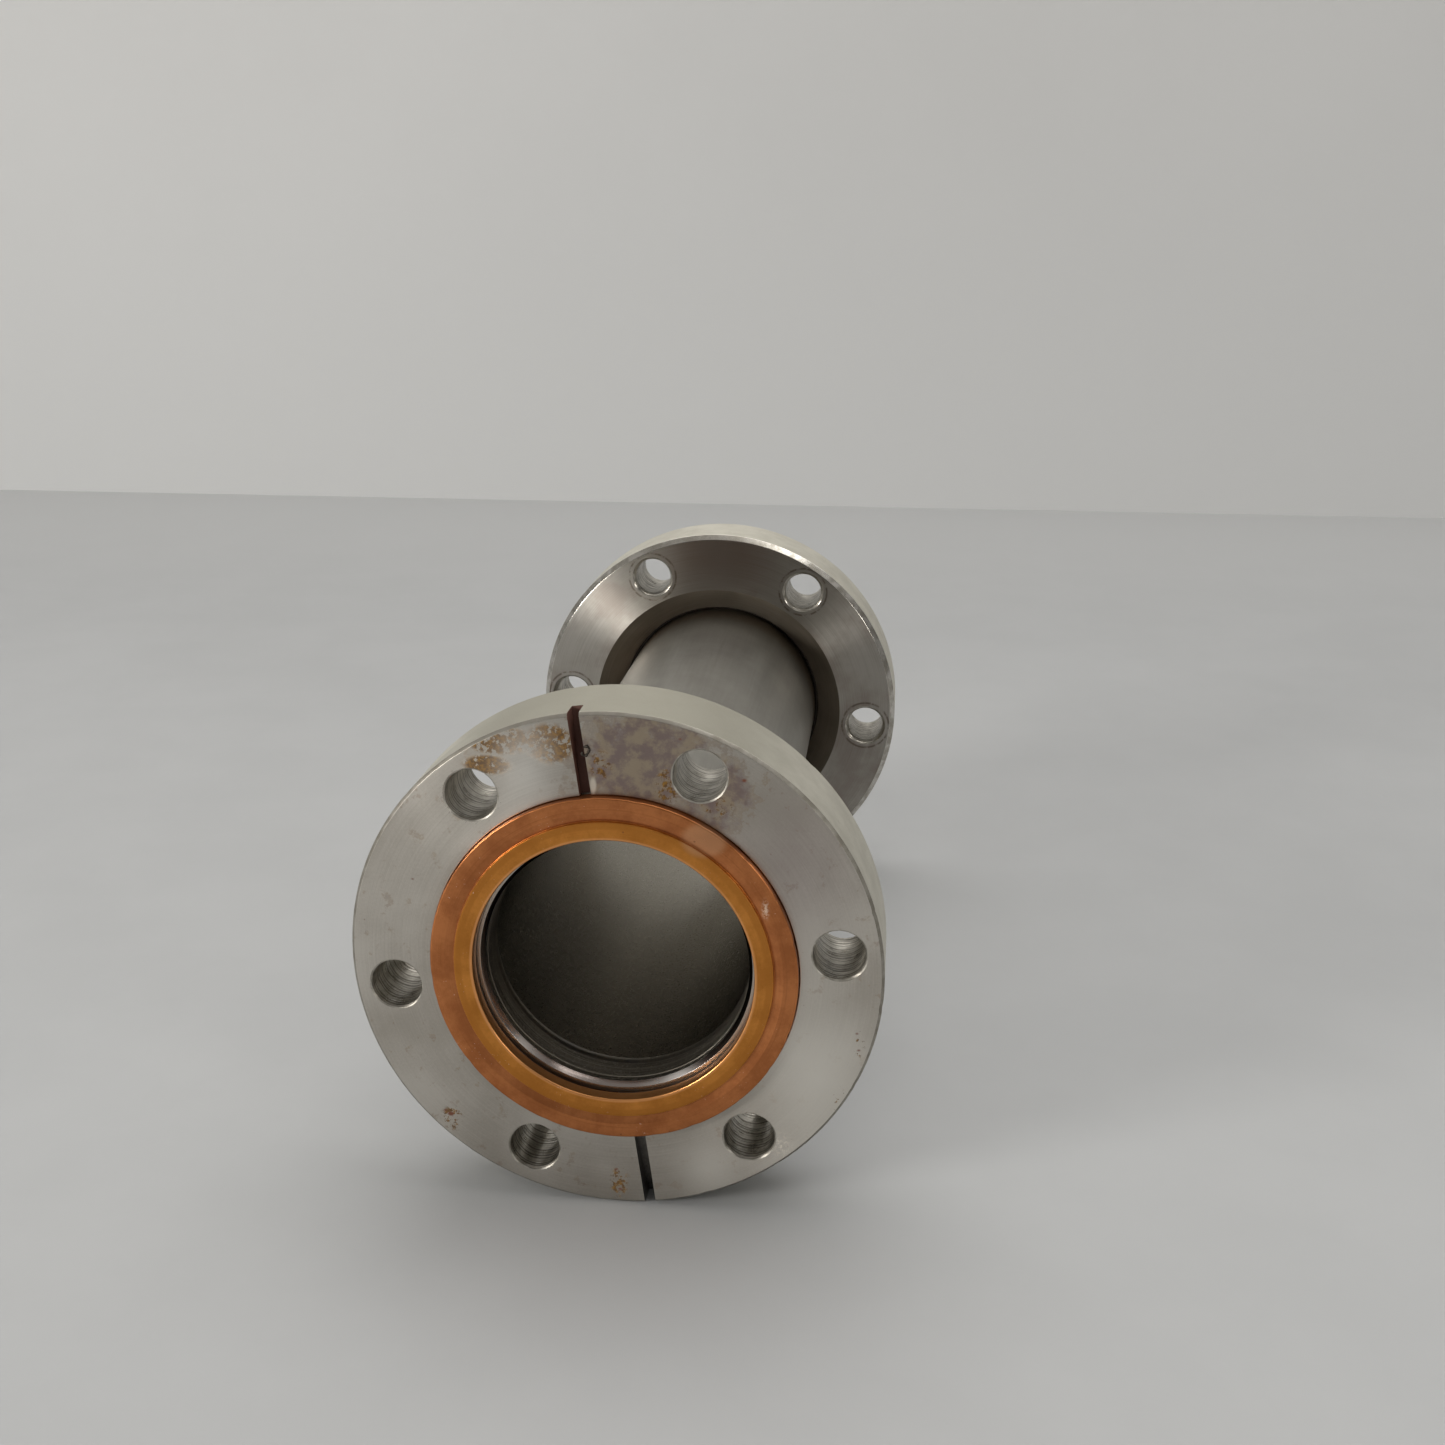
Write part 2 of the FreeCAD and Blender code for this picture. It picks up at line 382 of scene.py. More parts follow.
    def finish(self, color, roughness, height=None, bump_mm=0.02, metallic=1.0, anisotropic=0.0,
               grain="turned"):
        """grain says how the tool marks run: "turned" round the axis on a face, "bored" round a hole's
        wall, or "drawn" along the tube. Highlights spread across the marks."""
        self.feed(self.bsdf.inputs["Base Color"], color)
        self.feed(self.bsdf.inputs["Roughness"], roughness)
        self.feed(self.bsdf.inputs["Metallic"], metallic)
        if anisotropic:
            self.bsdf.inputs["Anisotropic"].default_value = anisotropic
            if grain == "bored":
                across = self.combine(0.0, 1.0, 0.0)
            else:
                across = self.node("ShaderNodeTangent", direction_type="RADIAL", axis="Y").outputs[0]
            self.feed(self.bsdf.inputs["Tangent"], across)
            if grain == "turned":
                self.bsdf.inputs["Anisotropic Rotation"].default_value = 0.25
        if height is not None:
            inputs = {"Height": height, "Strength": 1.0, "Distance": bump_mm * MM}
            bump = self.node("ShaderNodeBump", inputs)
            self.feed(self.bsdf.inputs["Normal"], bump.outputs[0])
        return self.material


def rgb(r, g, b):
    return (r, g, b, 1.0)


STEEL_DARK = rgb(0.43, 0.395, 0.345)
STEEL_LIGHT = rgb(0.60, 0.565, 0.51)
RUST = rgb(0.16, 0.055, 0.03)


# ---------------------------------------------------------------- materials


# Ochre scale on the mating face: centre, radius, softness, squash, and the share left bare
OCHRE_SPOTS = [
    ((-15.4, 0, 27.5), 1.3, 1.2, (0.55, 0.2, 1.3), 0.40),
    ((-13.7, 0, 30.8), 2.0, 1.4, (0.55, 0.2, 1.3), 0.45),
    ((-7.4, 0, 30.6), 1.9, 1.4, (0.75, 0.2, 0.9), 0.43),
    ((-1.0, 0, 28.0), 1.0, 1.2, (1.0, 0.2, 0.7), 0.50),
    ((7.3, 0, 25.5), 1.1, 1.3, (1.0, 0.2, 0.6), 0.49),
    ((13.6, 0, 23.0), 1.0, 1.2, (0.7, 0.2, 1.0), 0.52),
    ((0.1, 0, -31.8), 1.0, 1.3, (1.2, 0.2, 0.6), 0.49),
    ((-22.6, 0, -23.4), 0.9, 1.2, (0.9, 0.2, 0.7), 0.50),
    ((31.9, 0, -8.5), 0.5, 1.2, (1.3, 0.2, 0.4), 0.55),
    ((29.4, 0, -17.0), 0.7, 1.0, (1.0, 0.2, 0.6), 0.56),
]

# Rust specks on the mating face: centre and radius
RUST_SPECKS = [
    ((-22.8, 0, -22.8), 0.34),
    ((-23.5, 0, -22.3), 0.16),
    ((16.9, 0, 26.75), 0.24),
    ((0.25, 0, -32.8), 0.2),
    ((-0.25, 0, -29.8), 0.16),
    ((31.9, 0, -9.6), 0.14),
    ((31.6, 0, -7.2), 0.12),
    ((-26.0, 0, 11.5), 0.10),
    ((9.0, 0, 31.8), 0.12),
]


def add_haze(s, color):
    """Dried-on brown haze between the upper leak groove and the hole to its right, fainter beyond it,
    and a painted sheen that makes the steel lighter lower down. Gives the colour and how thick the haze
    is."""
    grain = s.noise(0.42, 7.0, 0.68)
    haze = s.most(s.blot((4.5, 0, 29.0), 6.2, 4.5, (0.8, 0.2, 1.0)),
                  s.blot((13.0, 0, 25.5), 4.2, 4.0, (1.0, 0.2, 1.0)))
    wet = s.add(haze, s.times(s.minus(grain, 0.5), 2.4))
    film = s.band(wet, 0.12, 0.75)
    patches = s.band(s.noise(0.45, 6.0, 0.68), 0.41, 0.59)
    tint = s.mix(patches, rgb(0.285, 0.208, 0.195), rgb(0.46, 0.365, 0.26))
    tide = s.between(wet, 0.26, 0.36, 0.05)
    color = s.mix(s.times(film, 0.84), color, tint)
    color = s.mix(s.times(tide, 0.28), color, rgb(0.33, 0.225, 0.13))
    faint = s.times(s.blot((23.5, 0, 15.5), 6.0, 6.0, (1.0, 0.2, 0.8)), s.span(grain, 0.6, 1.2))
    color = s.mix(s.times(faint, 0.50), color, rgb(0.34, 0.285, 0.275))
    # Painted sheen: lighter steel at the lower right of the face and near the bottom
    clean = s.most(s.blot((26.5, 0, -14.0), 6.0, 8.0, (1.1, 0.2, 0.75)),
                   s.blot((12.0, 0, -29.0), 3.0, 4.5, (1.0, 0.2, 1.0)))
    return s.mix(s.times(clean, 0.95), color, rgb(0.76, 0.73, 0.665)), film


def add_ochre(s, color):
    """Flakes of ochre scale. Gives the colour and where the scale is."""
    crust = s.noise(1.05, 6.0, 0.70)
    patches = []
    for centre, radius, soft, squash, bare in OCHRE_SPOTS:
        flakes = s.band(crust, bare + 0.01, bare + 0.05)
        patches.append(s.times(s.blot(centre, radius, soft, squash), flakes))
    scale = s.band(s.most(*patches), 0.05, 0.50)
    shades = s.band(s.noise(2.4, 3.0, 0.6), 0.4, 0.62)
    ochre = s.mix(shades, rgb(0.09, 0.038, 0.004), rgb(0.24, 0.118, 0.008))
    return s.mix(s.times(scale, 0.94), color, ochre), scale


def add_rust(s, color):
    """Scattered pits and a few rust specks. Gives the colour and where they are."""
    pits = s.band(s.cells(0.55), 0.09, 0.045)
    pits = s.times(pits, s.band(s.noise(0.22, 2.0), 0.60, 0.68))
    specks = [s.blot(centre, radius, 0.16, (0.8, 0.2, 1.1)) for centre, radius in RUST_SPECKS]
    dark = s.most(s.times(pits, 0.6), *specks)
    return s.mix(dark, color, RUST), dark


def stained_face():
    """Mating face: satin turned steel with brown haze, ochre scale and rust specks near the rim."""
    s = Shader("steel_face")
    cloud = s.noise(0.07, detail=3.0, roughness=0.5)
    fine = s.noise(3.0, detail=5.0, roughness=0.7)
    rings = s.turned(0.16, 3.0)
    tone = s.add(s.times(cloud, 0.6), s.times(fine, 0.2), s.times(rings, 0.2))
    color = s.mix(s.band(tone, 0.35, 0.65), STEEL_DARK, STEEL_LIGHT)
    color, film = add_haze(s, color)
    color, scale = add_ochre(s, color)
    color, dark = add_rust(s, color)

    # Pale patches: worn beside a lower hole, and a painted highlight where the upper leak groove meets
    # the recess
    speckle = s.band(s.noise(2.2, 4.0, 0.7), 0.50, 0.58)
    worn = s.times(s.blot((22.0, 0, -24.5), 1.1, 1.4, (1.0, 0.2, 0.8)), speckle)
    chip = s.blot((-2.0, 0, 25.3), 0.42, 0.18, (1.1, 0.2, 0.42))
    pale = s.most(s.times(worn, 0.7), chip)
    color = s.mix(pale, color, rgb(0.80, 0.74, 0.64))

    # Painted sheen beside the upper left hole, following the turning rings
    sheen = s.blot((-10.5, 0, 26.8), 2.2, 3.2, (0.9, 0.2, 0.55))
    color = s.mix(s.times(sheen, s.span(rings, 0.35, 0.85)), color, rgb(0.80, 0.775, 0.72))

    dirt = s.most(scale, pale, s.times(film, 0.35))
    rubbed = s.blot((-17.75, 0, 23.38), 4.6, 2.6, (1.0, 0.2, 1.0))
    rough = s.add(s.span(fine, 0.27, 0.35), s.times(rings, 0.05), s.times(dirt, 0.22),
                  s.times(rubbed, -0.07))
    metal = s.minus(1.0, s.times(s.most(scale, dark), 0.8))
    height = s.add(s.times(rings, 0.3), s.times(fine, 0.3), s.times(dark, -1.0))
    return s.finish(color, rough, height, bump_mm=0.008, metallic=metal, anisotropic=0.75)


def blasted_rim():
    """Outer rim: pale matte steel with faint scuffs across it."""
    s = Shader("steel_rim")
    cloud = s.noise(0.25, 4.0, 0.6)
    grain = s.noise(7.0, 3.0, 0.7)
    scuff_at = s.combine(s.times(s.angle, 26.0), s.times(s.y, 0.35), 2.0)
    scuffs = s.band(s.noise(1.0, 4.0, 0.7, at=scuff_at), 0.60, 0.74)
    color = s.mix(s.band(cloud, 0.3, 0.7), rgb(0.49, 0.468, 0.405), rgb(0.565, 0.543, 0.475))
    color = s.mix(s.times(scuffs, 0.42), color, rgb(0.34, 0.315, 0.255))
    # Painted shade: darker along the top of the front flange's rim
    handled = s.times(s.band(s.y, FLANGE_T + 2.0, FLANGE_T), s.band(s.z, 24.0, 33.0))
    color = s.mix(s.times(handled, 0.8), color, rgb(0.30, 0.285, 0.235))
    rough = s.add(s.span(grain, 0.56, 0.66), s.times(scuffs, -0.08))
    height = s.add(grain, s.times(scuffs, -0.8), s.times(s.turned(0.3), 0.2))
    return s.finish(color, rough, height, bump_mm=0.018)


def edge_steel(name, light, dull, roughness, bump_mm):
    """Broken edges: smooth and burnished by handling, duller in places, with painted shade along the top
    and upper left.
    """
    s = Shader(name)
    wear = s.noise(0.5, 3.0, 0.6)
    color = s.mix(s.band(wear, 0.35, 0.65), light, dull)
    # Painted shade: darker along the top and upper left
    crown = s.times(s.band(s.z, 26.0, 33.0), s.band(s.x, 14.0, 6.0))
    color = s.mix(s.times(crown, 0.65), color, rgb(0.20, 0.185, 0.16))
    rough = s.span(wear, roughness, roughness + 0.10)
    return s.finish(color, rough, s.noise(2.0, 3.0, 0.6), bump_mm=bump_mm)


def seal_steel():
    """Knife edge and seat: fine turning, free of marks."""
    s = Shader("steel_seat")
    rings = s.turned(0.12, 9.0)
    color = s.mix(rings, rgb(0.40, 0.375, 0.335), rgb(0.58, 0.545, 0.49))
    return s.finish(color, s.span(rings, 0.22, 0.34), rings, bump_mm=0.01, anisotropic=0.6)


def polished_lead():
    """Polished taper that leads into the bore, with painted glints at the lower left and lower right,
    streaked with fine scratches.
    """
    s = Shader("steel_polished")
    scratch = s.noise(1.0, 2.0, 0.6, at=s.combine(s.times(s.angle, 190.0), s.times(s.r, 0.5), 1.0))
    # Painted highlights: bright glints at the lower left and lower right
    lower_left = s.between(s.angle, math.radians(-139), math.radians(-131), 0.16)
    lower_right = s.between(s.angle, math.radians(146), math.radians(162), 0.22)
    cluster = s.most(lower_left, lower_right)
    bright = s.times(s.span(scratch, 0.70, 1.0), cluster)
    color = s.mix(bright, rgb(0.235, 0.20, 0.185), rgb(0.95, 0.92, 0.89))
    rough = s.add(0.12, s.times(bright, 0.30), s.times(s.turned(0.1, 4.0), 0.06))
    return s.finish(color, rough, s.add(scratch, s.turned(0.1, 4.0)), bump_mm=0.006, anisotropic=0.5)


def bored_steel():
    """Bore wall of a flange: dull bored steel with fine rings and small specks of dust."""
    s = Shader("steel_bore")
    rings = s.drawn(0.16, 5.0)
    grain = s.noise(4.5, 4.0, 0.75)
    dust = s.times(s.band(s.noise(2.8, 3.0, 0.7), 0.57, 0.66), 0.7)
    tone = s.add(s.times(rings, 0.6), s.times(grain, 0.4))
    color = s.mix(s.band(tone, 0.35, 0.65), rgb(0.12, 0.105, 0.085), rgb(0.32, 0.29, 0.245))
    ledge = s.most(s.between(s.y, 3.05, 3.30, 0.08), s.between(s.y, 5.2, 5.35, 0.08))
    dust = s.most(dust, s.times(ledge, s.span(grain, 0.2, 0.8)))
    color = s.mix(dust, color, rgb(0.52, 0.48, 0.40))
    rough = s.add(s.span(grain, 0.26, 0.40), s.times(dust, 0.2))
    return s.finish(color, rough, s.add(rings, grain), bump_mm=0.02, anisotropic=0.6, grain="bored")


def drilled_steel():
    """Bolt hole wall: crisp feed marks round the hole, over grey smears."""
    s = Shader("steel_drilled")
    smear = s.noise(0.5, 4.0, 0.65)
    wander = s.times(s.noise(0.35, 1.0), 1.4)
    marks = s.noise(1.0, 1.5, 0.5, at=s.combine(s.add(s.times(s.y, 2.3), wander), 3.0, 1.0))
    torn_at = s.combine(s.times(s.y, 7.0), s.times(s.x, 0.4), s.times(s.z, 0.4))
    torn = s.noise(1.0, 3.0, 0.7, at=torn_at)
    color = s.mix(s.band(smear, 0.35, 0.65), rgb(0.36, 0.335, 0.285), rgb(0.60, 0.57, 0.51))
    color = s.mix(s.times(s.band(marks, 0.50, 0.56), 0.75), color, rgb(0.13, 0.115, 0.095))
    color = s.mix(s.times(s.band(torn, 0.60, 0.70), 0.35), color, rgb(0.12, 0.105, 0.085))
    mouth = s.band(s.y, 0.6, 0.3)
    rough = s.add(s.span(smear, 0.20, 0.30), s.times(torn, 0.08), s.times(mouth, 0.22))
    height = s.add(s.times(s.band(marks, 0.35, 0.62), 1.0), s.times(torn, 0.35))
    return s.finish(color, rough, height, bump_mm=0.05, anisotropic=0.7, grain="bored")


def groove_steel():
    """Leak-check grooves: the upper one rusted brown, the lower one dark grey."""
    s = Shader("steel_groove")
    crust = s.noise(1.8, 5.0, 0.7)
    upper = s.band(s.z, -5.0, 5.0)
    rust = s.mix(crust, rgb(0.085, 0.034, 0.024), rgb(0.17, 0.080, 0.058))
    oil = s.mix(crust, rgb(0.05, 0.045, 0.04), rgb(0.30, 0.285, 0.265))
    color = s.mix(upper, oil, rust)
    metal = s.blend(upper, 0.85, 0.15)
    rough = s.blend(upper, 0.35, s.span(crust, 0.45, 0.7))
    return s.finish(color, rough, crust, bump_mm=0.03, metallic=metal)


def turned_back():
    """Bright turned steel that flashes in radial wedges, brown and tarnished in places, with painted
    shade at the top centre and a rubbed ring round each bolt hole."""
    s = Shader("steel_turned")
    rings = s.turned(0.13, 14.0)
    cloud = s.noise(0.06, 3.0, 0.5)
    tone = s.add(s.times(rings, 0.5), s.times(cloud, 0.5))
    color = s.mix(s.band(tone, 0.3, 0.7), rgb(0.37, 0.345, 0.305), rgb(0.525, 0.50, 0.46))
    tarnish = s.times(s.band(s.noise(0.09, 4.0, 0.6), 0.42, 0.64), 0.42)
    # Painted shade: darker brown at the top centre
    crown = s.times(s.band(s.z, 18.0, 31.0), s.band(s.math("ABSOLUTE", s.x), 17.0, 4.0))
    tarnish = s.most(tarnish, s.times(crown, 0.75))
    color = s.mix(tarnish, color, rgb(0.24, 0.18, 0.15))
    halos = []
    for mount in mounts_named("rear_bolt_hole"):
        x, _, z = (value / MM for value in mount["pos_m"])
        halos.append(s.between(s.from_line(x, z), HOLE_RUB_R - 0.35, HOLE_RUB_R, 0.12))
    rubbed = s.times(s.most(*halos), s.band(s.noise(0.6, 4.0, 0.65), 0.38, 0.56))
    color = s.mix(s.times(rubbed, 0.75), color, rgb(0.15, 0.115, 0.09))
    rough = s.add(s.span(rings, 0.32, 0.38), s.times(rubbed, 0.10))
    return s.finish(color, rough, rings, bump_mm=0.005, anisotropic=0.96)


def tarnished_cone():
    """Relief cone round the tube: brown from welding heat."""
    s = Shader("steel_cone")
    rings = s.turned(0.25, 21.0)
    cloud = s.noise(0.12, 3.0, 0.5)
    tone = s.add(s.times(rings, 0.35), s.times(cloud, 0.65))
    color = s.mix(s.band(tone, 0.3, 0.7), rgb(0.18, 0.155, 0.12), rgb(0.27, 0.235, 0.19))
    rough = s.span(cloud, 0.32, 0.40)
    return s.finish(color, rough, rings, bump_mm=0.008, metallic=0.58, anisotropic=0.8)


def oxidised_gap():
    """Nearly black steel: painted shade inside the gap between bolt ring and tube, and the dark colour
    of the saw burr.
    """
    s = Shader("steel_near_black")
    crust = s.noise(1.2, 4.0, 0.7)
    color = s.mix(crust, rgb(0.025, 0.022, 0.02), rgb(0.09, 0.078, 0.065))
    return s.finish(color, s.span(crust, 0.45, 0.65), crust, bump_mm=0.02)


def pickled_tube():
    """Outside of the tube: matte pickled steel with light drawing lines, tinted near the welds."""
    s = Shader("steel_tube")
    along = s.noise(1.0, 3.0, 0.6, at=s.combine(s.times(s.angle, 30.0), s.times(s.y, 0.05), 7.0))
    grain = s.noise(5.0, 4.0, 0.7)
    cloud = s.noise(0.12, 4.0, 0.6)
    tone = s.add(s.times(along, 0.35), s.times(grain, 0.2), s.times(cloud, 0.45))
    color = s.mix(s.band(tone, 0.35, 0.65), rgb(0.285, 0.27, 0.24), rgb(0.345, 0.33, 0.295))
    wave = s.times(s.noise(0.25, 3.0), 5.0)
    near_rear = s.band(s.add(s.y, wave), LENGTH - 14.0, LENGTH - 9.0)
    near_front = s.band(s.minus(s.y, wave), FLANGE_T + 3.0, FLANGE_T - 1.0)
    tint = s.most(near_rear, near_front)
    color = s.mix(s.times(tint, 0.65), color, rgb(0.27, 0.205, 0.145))
    rough = s.add(s.span(grain, 0.34, 0.42), s.times(along, 0.05))
    height = s.add(s.times(along, 0.5), grain)
    return s.finish(color, rough, height, bump_mm=0.006, anisotropic=0.3, grain="drawn")


def honed_bore():
    """Inside of the tube: smooth grey, with faint drawing lines and dust, and painted shade that darkens
    its front end and one side.
    """
    s = Shader("steel_inside")
    along = s.noise(1.0, 3.0, 0.6, at=s.combine(s.times(s.angle, 40.0), s.times(s.y, 0.04), 2.0))
    grain = s.noise(3.0, 4.0, 0.7)
    dust = s.band(s.noise(2.2, 1.0, 0.4), 0.77, 0.80)
    tone = s.add(s.times(along, 0.4), s.times(grain, 0.6))
    color = s.mix(tone, rgb(0.31, 0.285, 0.24), rgb(0.42, 0.39, 0.33))
    color = s.mix(s.times(dust, 0.7), color, rgb(0.7, 0.66, 0.56))
    # Painted shade: darker towards the front end of the bore, and darker still on its -X side there
    film = s.band(s.add(s.y, s.times(grain, 8.0)), 74.0, 16.0)
    thick_film = s.times(s.band(s.x, -3.0, -15.0), s.band(s.y, 70.0, 30.0))
    color = s.mix(s.times(film, 0.85), color, rgb(0.13, 0.115, 0.093))
    color = s.mix(s.times(thick_film, 0.8), color, rgb(0.055, 0.048, 0.038))
    height = s.add(grain, s.times(along, 0.4))
    rough = s.span(grain, 0.24, 0.32)
    return s.finish(color, rough, height, bump_mm=0.004, anisotropic=0.3, grain="drawn")


def weld_steel():
    """Seal weld: fused steel with a straw and blue tint in its ripples."""
    s = Shader("steel_weld")
    ripple = s.noise(1.0, 3.0, at=s.combine(s.times(s.angle, 60.0), s.times(s.y, 0.8), 0.0))
    color = s.mix(ripple, rgb(0.20, 0.175, 0.14), rgb(0.33, 0.30, 0.255))
    color = s.mix(s.times(s.band(s.noise(0.35), 0.5, 0.7), 0.4), color, rgb(0.17, 0.17, 0.19))
    return s.finish(color, s.span(ripple, 0.36, 0.50), ripple, bump_mm=0.02)


def copper(name, light, dark):
    """Used copper: warm satin with clouded oxide, fine turning, bright and dark handling marks, and a
    painted highlight round the bore.
    """
    s = Shader(name)
    cloud = s.noise(0.24, 5.0, 0.62)
    fine = s.noise(2.6, 4.0, 0.65)
    rings = s.turned(0.14, 31.0)
    tone = s.add(s.times(cloud, 0.72), s.times(fine, 0.16), s.times(rings, 0.12))
    color = s.mix(s.band(tone, 0.35, 0.65), dark, light)
    pressed = s.times(s.between(s.r, 19.9, 20.8, 0.18), s.span(cloud, 0.3, 0.8))
    color = s.mix(pressed, color, dark)
    scored = s.times(s.between(s.r, 22.5, 22.64, 0.05), s.band(s.noise(0.15, 2.0), 0.40, 0.56))
    color = s.mix(s.times(scored, 0.28), color, rgb(0.28, 0.09, 0.03))
    # Painted highlight: a bright orange band round the bore edge
    handled = s.band(s.r, GASKET_BORE_R + 0.5, GASKET_BORE_R + 0.2)
    color = s.mix(s.times(handled, 0.6), color, rgb(0.88, 0.42, 0.17))
    stain = s.times(s.blot((12.0, 0, 19.0), 2.2, 0.5, (0.8, 0.1, 1.0)), 0.5)
    color = s.mix(stain, color, rgb(0.66, 0.36, 0.19))
    flecks = s.times(s.band(s.noise(4.2, 2.0, 0.5), 0.73, 0.76), s.band(s.noise(0.2, 2.0), 0.50, 0.62))
    speckle = s.band(s.noise(3.0, 3.0, 0.7), 0.45, 0.55)
    scuffed = s.times(s.blot((19.75, 0, 10.0), 0.5, 0.5, (1.4, 0.1, 0.5)), speckle)
    bright = s.most(flecks, scuffed)
    color = s.mix(s.times(bright, 0.85), color, rgb(0.95, 0.72, 0.55))
    spots = s.times(s.band(s.cells(0.30), 0.055, 0.03), 0.55)
    color = s.mix(spots, color, rgb(0.16, 0.06, 0.03))
    rough = s.add(s.span(cloud, 0.24, 0.32), s.times(fine, 0.05), s.times(stain, 0.12))
    height = s.add(s.times(rings, 0.4), s.times(fine, 0.4))
    return s.finish(color, rough, height, bump_mm=0.005, metallic=0.90, anisotropic=0.15)


def spring_wire():
    """Retaining wire: drawn spring steel with lines along it."""
    s = Shader("steel_wire")
    line_at = s.combine(s.times(s.angle, 12.0), s.times(s.y, 4.0), s.times(s.r, 4.0))
    line = s.noise(1.0, 3.0, at=line_at)
    color = s.mix(line, rgb(0.30, 0.295, 0.29), rgb(0.52, 0.51, 0.50))
    return s.finish(color, s.span(line, 0.25, 0.4), line, bump_mm=0.01)


# One material for each finish
FACE = stained_face()
RIM = blasted_rim()
EDGE = edge_steel("steel_edge", rgb(0.34, 0.32, 0.28), rgb(0.24, 0.22, 0.185), 0.42, 0.006)
BEVEL = edge_steel("steel_bevel", rgb(0.60, 0.575, 0.53), rgb(0.36, 0.335, 0.29), 0.15, 0.001)
SEAT = seal_steel()
LEAD = polished_lead()
BORE = bored_steel()
HOLE = drilled_steel()
GROOVE = groove_steel()
BACK = turned_back()
CONE = tarnished_cone()
OXIDE = oxidised_gap()
TUBE = pickled_tube()
INSIDE = honed_bore()
WELD = weld_steel()
COPPER_OUTER = copper("copper_outer", rgb(0.54, 0.20, 0.070), rgb(0.37, 0.125, 0.041))
COPPER_INNER = copper("copper_inner", rgb(0.62, 0.25, 0.050), rgb(0.44, 0.165, 0.028))
WIRE = spring_wire()


# ---------------------------------------------------------------- pieces


def knife_depth(radius):
    return KNIFE_DEPTH + (radius - KNIFE_R) * KNIFE_SLOPE


def seal_corners(setback, flip):
    """Mating side from the recess to the bore. flip turns a depth into a y place."""
    return [
        (RECESS_R, flip(setback), 0.12, "seat"),
        (RECESS_R, flip(knife_depth(RECESS_R)), 0.08, "seat"),
        (KNIFE_R, flip(KNIFE_DEPTH), 0.02, "seat"),
        (KNIFE_R, flip(FLOOR_DEPTH), 0.06, "seat"),
        (FLOOR_INNER_R, flip(FLOOR_DEPTH), 0.05, "lead"),
        (BORE_R + 0.07, flip(LEAD_DEPTH - 0.12), 0.05, "bore"),
        (BORE_R + 0.05, flip(LEAD_DEPTH + 0.80), 0.02, "bore"),
        (BORE_R, flip(LEAD_DEPTH + 0.88), 0.02, "bore"),
    ]


def bolt_holes(name, holes, face_y, back_y, back_break):
    """One cutting tool per bolt hole, with feed marks on the wall and broken edges at both mouths."""
    tools = []
    draw = random.Random(11)
    inward = 1 if back_y > face_y else -1
    depth = abs(back_y - face_y)
    plain = 1.3               # length of smooth wall near the far mouth
    for i, mount in enumerate(holes):
        foot = (mount["pos_m"][0] / MM, mount["pos_m"][2] / MM)
        profile = [
            (BOLT_HOLE_R + HOLE_BREAK + 0.5, -0.5),
            (BOLT_HOLE_R + HOLE_BREAK, 0.0),
            (BOLT_HOLE_R + 0.07, 0.14),
            (BOLT_HOLE_R, HOLE_BREAK + 0.05),
        ]
        reached = HOLE_BREAK + 0.4
        while reached < depth - plain:
            profile.append((BOLT_HOLE_R + draw.uniform(-0.018, 0.022), reached))
            reached += draw.uniform(0.25, 0.55)
        profile += [
            (BOLT_HOLE_R + 0.06, depth - 1.1),
            (BOLT_HOLE_R + 0.07, depth - back_break - 0.05),
            (BOLT_HOLE_R + 0.18, depth - back_break * 0.5),
            (BOLT_HOLE_R + back_break, depth),
            (BOLT_HOLE_R + back_break + 0.5, depth + 0.5),
        ]
        places = [(r, face_y + inward * below) for r, below in profile]
        tool = spun_cutter(f"{name}_drill_{i}", places, foot)
        tool.data.materials.append(HOLE)
        tools.append(tool)
    return tools


def groove_tools(name, clock, inner_r, face_y, inward):
    """Two opposite leak-check saw cuts whose floors deepen towards the rim."""
    fall = (GROOVE_RIM_DEPTH - GROOVE_INNER_DEPTH) / (FLANGE_R - RECESS_R)
    outer_r = FLANGE_R + 2.0
    inner_floor = GROOVE_INNER_DEPTH + (inner_r - RECESS_R) * fall
    outer_floor = GROOVE_RIM_DEPTH + (outer_r - FLANGE_R) * fall
    corners = [(-1.0, inner_r), (-1.0, outer_r), (outer_floor, outer_r), (inner_floor, inner_r)]
    tools = []
    for k in range(2):
        bm = bmesh.new()
        turn = Matrix.Rotation(math.radians(clock + 180 * k), 4, "Y")
        sides = []
        for x in (-GROOVE_W / 2, GROOVE_W / 2):
            spots = [turn @ (Vector((x, face_y + inward * depth, r)) * MM) for depth, r in corners]
            sides.append([bm.verts.new(spot) for spot in spots])
        bm.faces.new(sides[0])
        bm.faces.new(sides[1])
        for i in range(len(corners)):
            n = (i + 1) % len(corners)
            bm.faces.new((sides[0][i], sides[0][n], sides[1][n], sides[1][i]))
        bmesh.ops.recalc_face_normals(bm, faces=bm.faces)
        tools.append(new_object(f"{name}_saw_{k}", bm, [GROOVE]))
    return tools


def turn_between(angle, at):
    """Signed angle from at to angle, within half a turn."""
    return (angle - at + math.pi) % (2 * math.pi) - math.pi


